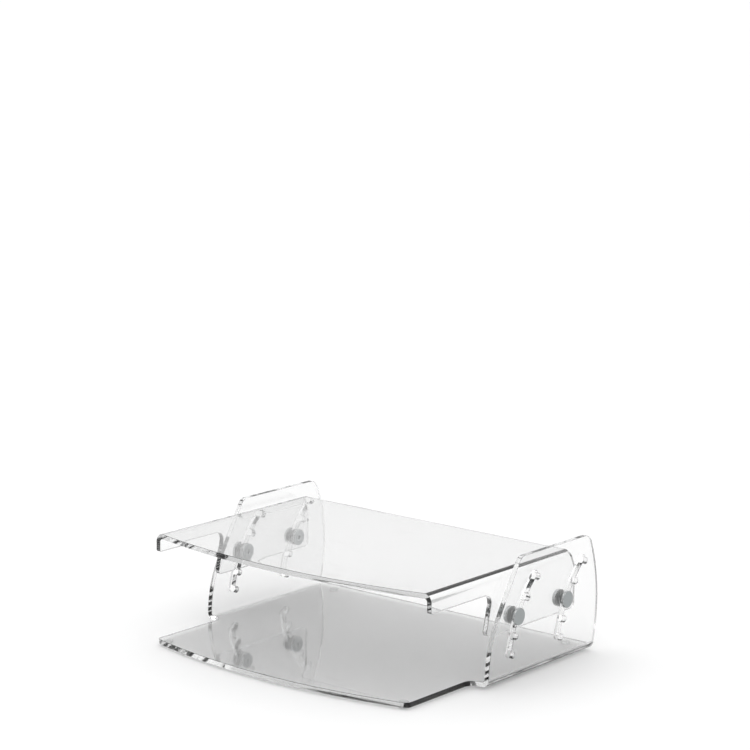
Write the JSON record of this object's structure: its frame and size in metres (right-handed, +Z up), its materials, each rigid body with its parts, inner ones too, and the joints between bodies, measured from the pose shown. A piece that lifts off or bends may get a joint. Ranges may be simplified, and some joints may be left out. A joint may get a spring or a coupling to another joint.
{
  "type": "monitor riser stand",
  "caption": "Clear acrylic monitor riser: a bent shelf bolted into notched, curved slots in the sides of a bent tray, so its height can be set.",
  "frame": {"origin": "on the floor, under the middle of the object's outer box", "axes": "+Z up, -Y towards the user at the front, +X to the user's right"},
  "size_m": [0.3876, 0.3222, 0.13],
  "materials": {
    "clear_acrylic": "polished",
    "satin_metal": "satin",
    "clear_nylon": "satin",
    "clear_polyurethane": "satin"
  },
  "bodies": {
    "tray": {"base_tray": "clear_acrylic", "front_left_foot": "clear_polyurethane", "front_right_foot": "clear_polyurethane", "rear_left_foot": "clear_polyurethane", "rear_right_foot": "clear_polyurethane"},
    "front_bolts": {"front_left_barrel_nut": "satin_metal", "front_left_spacer_washer": "clear_nylon", "front_left_inner_washer": "clear_nylon", "front_right_barrel_nut": "satin_metal", "front_right_spacer_washer": "clear_nylon", "front_right_inner_washer": "clear_nylon"},
    "shelf_carriage": {"shelf": "clear_acrylic", "rear_left_barrel_nut": "satin_metal", "rear_left_spacer_washer": "clear_nylon", "rear_left_inner_washer": "clear_nylon", "rear_right_barrel_nut": "satin_metal", "rear_right_spacer_washer": "clear_nylon", "rear_right_inner_washer": "clear_nylon"},
    "front_left_screw": {"front_left_cap_screw": "satin_metal"},
    "front_right_screw": {"front_right_cap_screw": "satin_metal"},
    "rear_left_screw": {"rear_left_cap_screw": "satin_metal"},
    "rear_right_screw": {"rear_right_cap_screw": "satin_metal"}
  },
  "joints": [
    {"name": "shelf_height", "type": "hinge", "parent": "tray", "child": "front_bolts", "pos_m": [0, 0.133, 0.0061], "axis": [-1, 0, 0], "range_deg": [-16.77, 20.02]},
    {"name": "shelf_level", "type": "hinge", "parent": "front_bolts", "child": "shelf_carriage", "pos_m": [0, 0.01331, 0.06854], "axis": [-1, 0, 0], "range_deg": [-20.02, 16.77]},
    {"name": "front_left_screw_turn", "type": "hinge", "parent": "front_bolts", "child": "front_left_screw", "pos_m": [-0.18, 0.01331, 0.06854], "axis": [-1, 0, 0], "continuous": true},
    {"name": "front_right_screw_turn", "type": "hinge", "parent": "front_bolts", "child": "front_right_screw", "pos_m": [0.18, 0.01331, 0.06854], "axis": [1, 0, 0], "continuous": true},
    {"name": "rear_left_screw_turn", "type": "hinge", "parent": "shelf_carriage", "child": "rear_left_screw", "pos_m": [-0.18, 0.10031, 0.06854], "axis": [-1, 0, 0], "continuous": true},
    {"name": "rear_right_screw_turn", "type": "hinge", "parent": "shelf_carriage", "child": "rear_right_screw", "pos_m": [0.18, 0.10031, 0.06854], "axis": [1, 0, 0], "continuous": true}
  ],
  "couplings": [
    {"joint": "shelf_level", "follows": "shelf_height", "ratio": -1}
  ]
}
